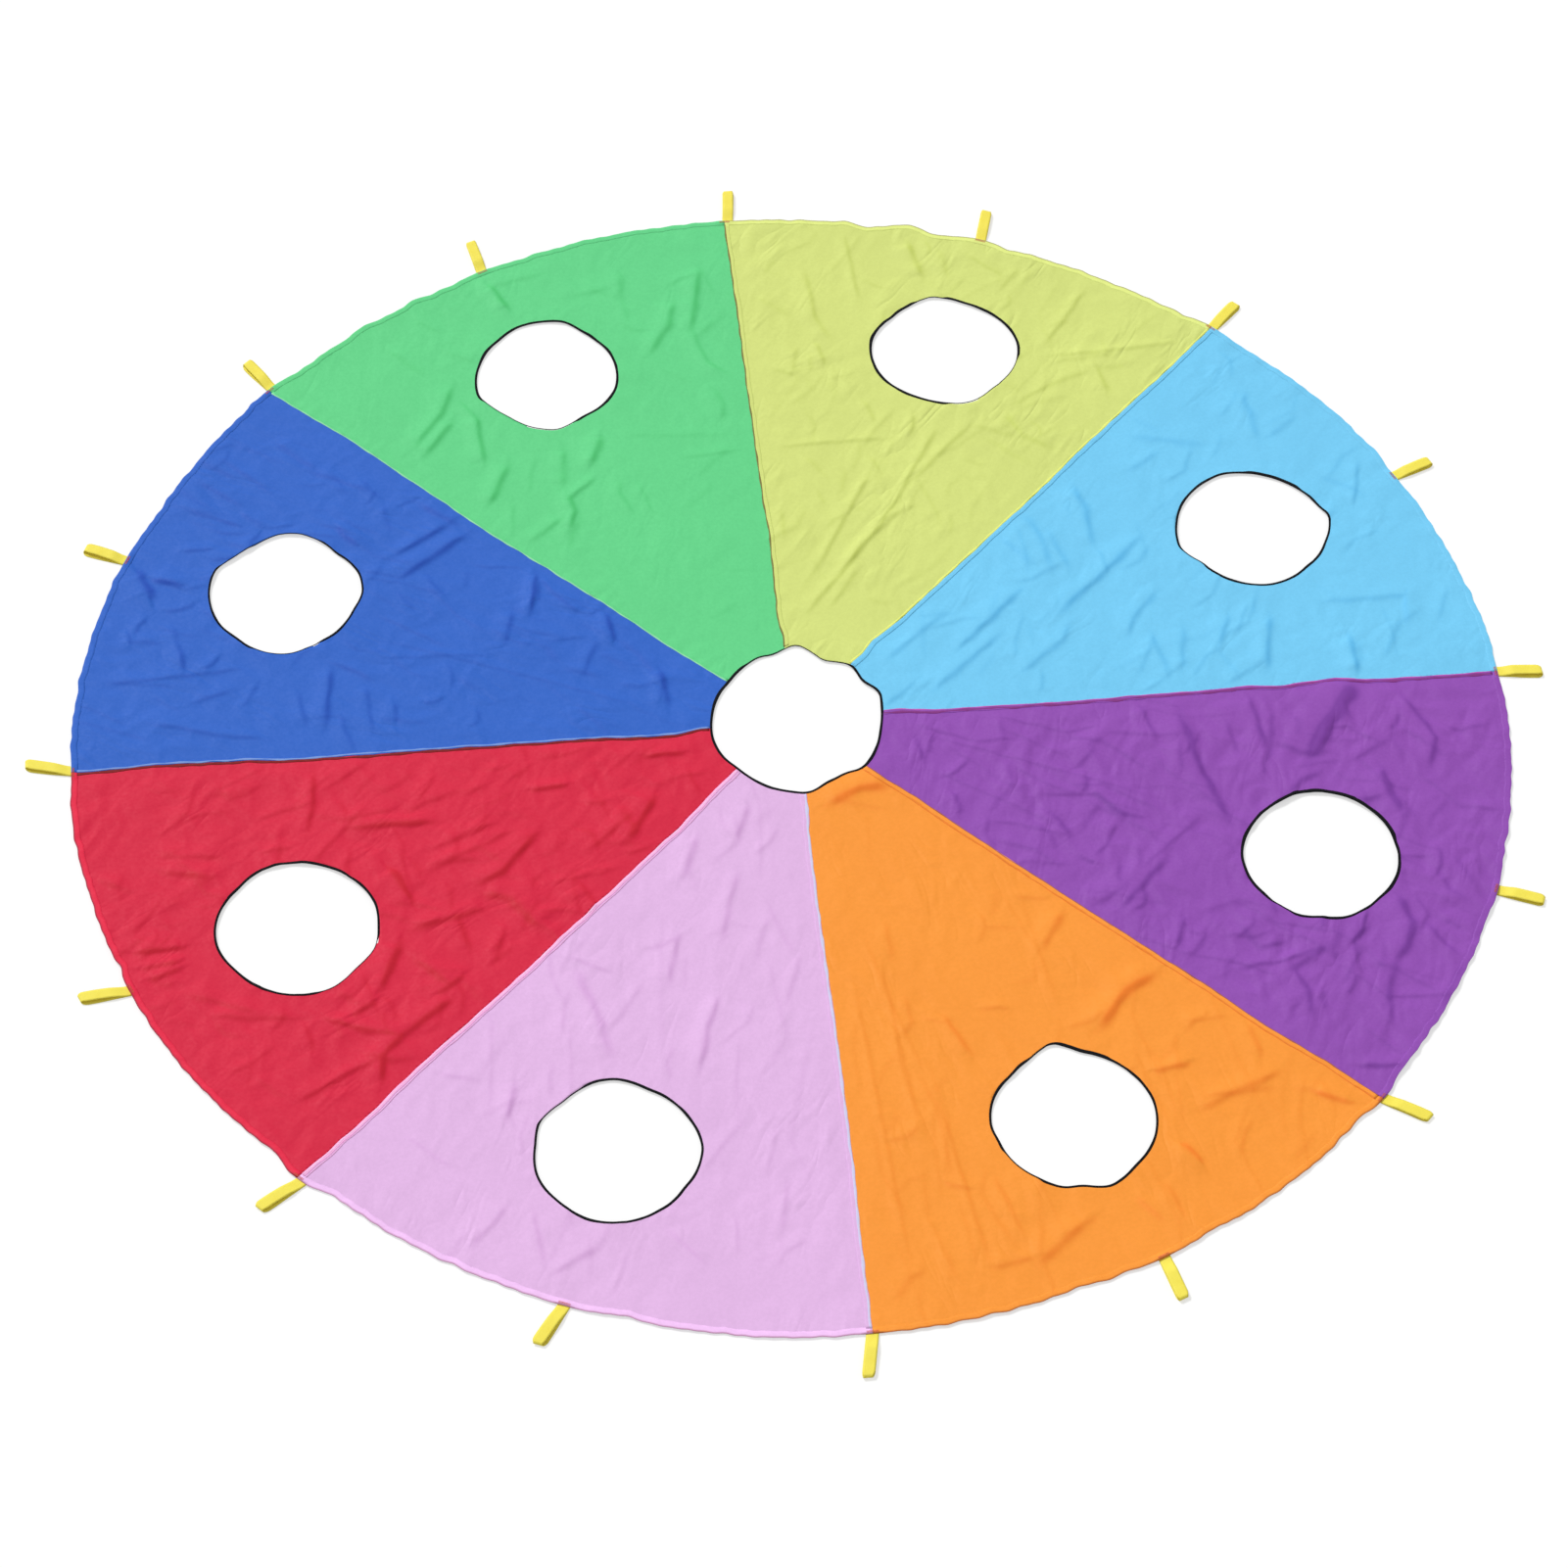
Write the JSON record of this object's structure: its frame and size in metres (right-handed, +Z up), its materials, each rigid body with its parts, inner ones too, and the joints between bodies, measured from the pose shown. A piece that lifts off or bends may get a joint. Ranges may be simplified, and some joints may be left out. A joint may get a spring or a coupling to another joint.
{
  "type": "play parachute",
  "caption": "Round play parachute of coloured wedge-shaped gores with a bound ball hole in each, a crown hole and webbing loop handles round its hem.",
  "frame": {"origin": "centre of the canopy's circle, on the ground under it", "axes": "+Z up; +X along the seam between the purple and the sky blue gore, +Y along the seam between the lime and the green gore"},
  "size_m": [3.1906, 3.1906, 0.009],
  "materials": {
    "taffeta_sky_blue": "woven polyester taffeta with a soft satin sheen",
    "taffeta_lime": "woven polyester taffeta with a soft satin sheen",
    "taffeta_green": "woven polyester taffeta with a soft satin sheen",
    "taffeta_blue": "woven polyester taffeta with a soft satin sheen",
    "taffeta_red": "woven polyester taffeta with a soft satin sheen",
    "taffeta_pink": "woven polyester taffeta with a soft satin sheen",
    "taffeta_orange": "woven polyester taffeta with a soft satin sheen",
    "taffeta_purple": "woven polyester taffeta with a soft satin sheen",
    "binding_tape": "matt folded cotton tape",
    "webbing": "matt woven polypropylene webbing"
  },
  "bodies": {
    "front_half": {"gore_red": "taffeta_red", "hole_binding_red": "binding_tape", "gore_pink": "taffeta_pink", "hole_binding_pink": "binding_tape", "gore_orange": "taffeta_orange", "hole_binding_orange": "binding_tape", "gore_purple": "taffeta_purple", "hole_binding_purple": "binding_tape", "centre_binding_front": "binding_tape"},
    "back_half": {"gore_sky_blue": "taffeta_sky_blue", "hole_binding_sky_blue": "binding_tape", "gore_lime": "taffeta_lime", "hole_binding_lime": "binding_tape", "gore_green": "taffeta_green", "hole_binding_green": "binding_tape", "gore_blue": "taffeta_blue", "hole_binding_blue": "binding_tape", "centre_binding_back": "binding_tape"},
    "handle_01_loop": {"handle_01": "webbing"},
    "handle_02_loop": {"handle_02": "webbing"},
    "handle_03_loop": {"handle_03": "webbing"},
    "handle_04_loop": {"handle_04": "webbing"},
    "handle_05_loop": {"handle_05": "webbing"},
    "handle_06_loop": {"handle_06": "webbing"},
    "handle_07_loop": {"handle_07": "webbing"},
    "handle_08_loop": {"handle_08": "webbing"},
    "handle_09_loop": {"handle_09": "webbing"},
    "handle_10_loop": {"handle_10": "webbing"},
    "handle_11_loop": {"handle_11": "webbing"},
    "handle_12_loop": {"handle_12": "webbing"},
    "handle_13_loop": {"handle_13": "webbing"},
    "handle_14_loop": {"handle_14": "webbing"},
    "handle_15_loop": {"handle_15": "webbing"},
    "handle_16_loop": {"handle_16": "webbing"}
  },
  "joints": [
    {"name": "half_fold", "type": "hinge", "parent": "front_half", "child": "back_half", "pos_m": [0, 0, 0.01], "axis": [1, 0, 0], "range_deg": [0, 180]},
    {"name": "handle_01_flop", "type": "hinge", "parent": "front_half", "child": "handle_01_loop", "pos_m": [1.5018, 0, 0.0015], "axis": [0, 1, 0], "range_deg": [-90, 90]},
    {"name": "handle_02_flop", "type": "hinge", "parent": "back_half", "child": "handle_02_loop", "pos_m": [1.38748, 0.57471, 0.0015], "axis": [-0.3827, 0.9239, 0], "range_deg": [-90, 90]},
    {"name": "handle_03_flop", "type": "hinge", "parent": "back_half", "child": "handle_03_loop", "pos_m": [1.06193, 1.06193, 0.0015], "axis": [-0.7071, 0.7071, 0], "range_deg": [-90, 90]},
    {"name": "handle_04_flop", "type": "hinge", "parent": "back_half", "child": "handle_04_loop", "pos_m": [0.57471, 1.38748, 0.0015], "axis": [-0.9239, 0.3827, 0], "range_deg": [-90, 90]},
    {"name": "handle_05_flop", "type": "hinge", "parent": "back_half", "child": "handle_05_loop", "pos_m": [0, 1.5018, 0.0015], "axis": [-1, 0, 0], "range_deg": [-90, 90]},
    {"name": "handle_06_flop", "type": "hinge", "parent": "back_half", "child": "handle_06_loop", "pos_m": [-0.57471, 1.38748, 0.0015], "axis": [-0.9239, -0.3827, 0], "range_deg": [-90, 90]},
    {"name": "handle_07_flop", "type": "hinge", "parent": "back_half", "child": "handle_07_loop", "pos_m": [-1.06193, 1.06193, 0.0015], "axis": [-0.7071, -0.7071, 0], "range_deg": [-90, 90]},
    {"name": "handle_08_flop", "type": "hinge", "parent": "back_half", "child": "handle_08_loop", "pos_m": [-1.38748, 0.57471, 0.0015], "axis": [-0.3827, -0.9239, 0], "range_deg": [-90, 90]},
    {"name": "handle_09_flop", "type": "hinge", "parent": "front_half", "child": "handle_09_loop", "pos_m": [-1.5018, 0, 0.0015], "axis": [0, -1, 0], "range_deg": [-90, 90]},
    {"name": "handle_10_flop", "type": "hinge", "parent": "front_half", "child": "handle_10_loop", "pos_m": [-1.38748, -0.57471, 0.0015], "axis": [0.3827, -0.9239, 0], "range_deg": [-90, 90]},
    {"name": "handle_11_flop", "type": "hinge", "parent": "front_half", "child": "handle_11_loop", "pos_m": [-1.06193, -1.06193, 0.0015], "axis": [0.7071, -0.7071, 0], "range_deg": [-90, 90]},
    {"name": "handle_12_flop", "type": "hinge", "parent": "front_half", "child": "handle_12_loop", "pos_m": [-0.57471, -1.38748, 0.0015], "axis": [0.9239, -0.3827, 0], "range_deg": [-90, 90]},
    {"name": "handle_13_flop", "type": "hinge", "parent": "front_half", "child": "handle_13_loop", "pos_m": [0, -1.5018, 0.0015], "axis": [1, 0, 0], "range_deg": [-90, 90]},
    {"name": "handle_14_flop", "type": "hinge", "parent": "front_half", "child": "handle_14_loop", "pos_m": [0.57471, -1.38748, 0.0015], "axis": [0.9239, 0.3827, 0], "range_deg": [-90, 90]},
    {"name": "handle_15_flop", "type": "hinge", "parent": "front_half", "child": "handle_15_loop", "pos_m": [1.06193, -1.06193, 0.0015], "axis": [0.7071, 0.7071, 0], "range_deg": [-90, 90]},
    {"name": "handle_16_flop", "type": "hinge", "parent": "front_half", "child": "handle_16_loop", "pos_m": [1.38748, -0.57471, 0.0015], "axis": [0.3827, 0.9239, 0], "range_deg": [-90, 90]}
  ]
}
